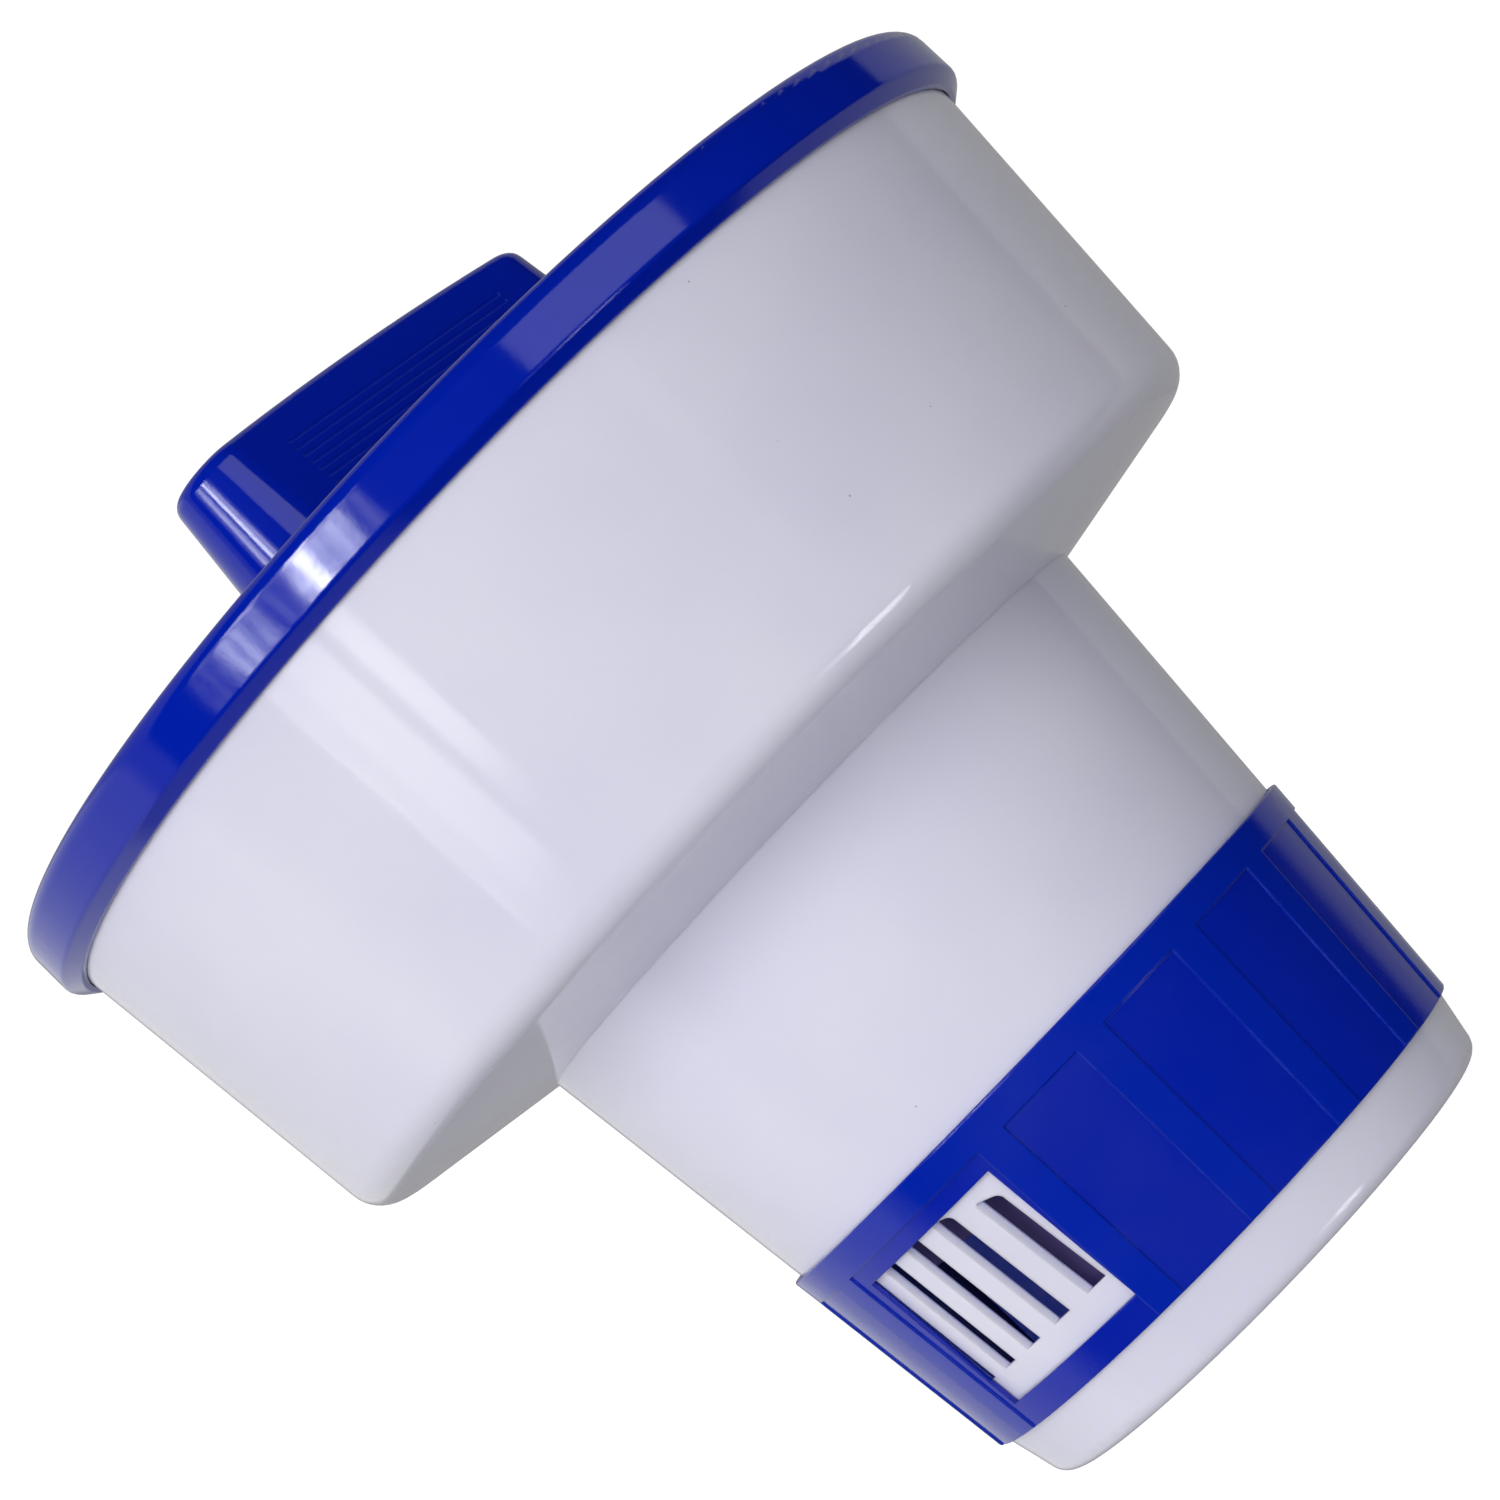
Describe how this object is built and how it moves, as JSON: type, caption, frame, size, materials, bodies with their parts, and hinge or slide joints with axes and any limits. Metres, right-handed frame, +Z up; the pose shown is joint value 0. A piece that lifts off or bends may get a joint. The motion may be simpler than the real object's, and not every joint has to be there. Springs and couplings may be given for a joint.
{
  "type": "floating chlorine dispenser",
  "caption": "Round floating pool dispenser: a wide drum float over a tapered, slotted tablet canister, with a turning flow ring and a twist-off cap with a bar handle.",
  "frame": {"origin": "centre of the flat base, on the surface it stands on", "axes": "+Z up along the dispenser's axis, towards the handle; the flow ring's windows face azimuths -129 and 51 degrees from +X"},
  "size_m": [0.1844, 0.1844, 0.1865],
  "materials": {
    "white_shell": "glossy moulded plastic",
    "white_inner": "glossy moulded plastic",
    "blue_cover": "glossy moulded plastic",
    "blue_cap": "glossy moulded plastic",
    "blue_ring": "satin moulded plastic",
    "seal_rubber": "matt black rubber"
  },
  "bodies": {
    "float": {"outer_shell": "white_shell", "tablet_sleeve": "white_inner", "chamber_seal": "seal_rubber", "cover_gasket": "seal_rubber", "top_cover": "blue_cover"},
    "seal": {"cap_seal": "seal_rubber"},
    "cap": {"twist_cap": "blue_cap"},
    "ring": {"flow_ring": "blue_ring"}
  },
  "joints": [
    {"name": "flow_turn", "type": "hinge", "parent": "float", "child": "ring", "pos_m": [0, 0, 0.0282], "axis": [0, 0, 1], "range_deg": [-19, 41]},
    {"name": "cap_lift", "type": "slide", "parent": "float", "child": "seal", "axis": [0, 0, 1], "range_m": [0, 0.06]},
    {"name": "cap_turn", "type": "hinge", "parent": "seal", "child": "cap", "pos_m": [0, 0, 0.162], "axis": [0, 0, 1], "range_deg": [0, 60]}
  ]
}
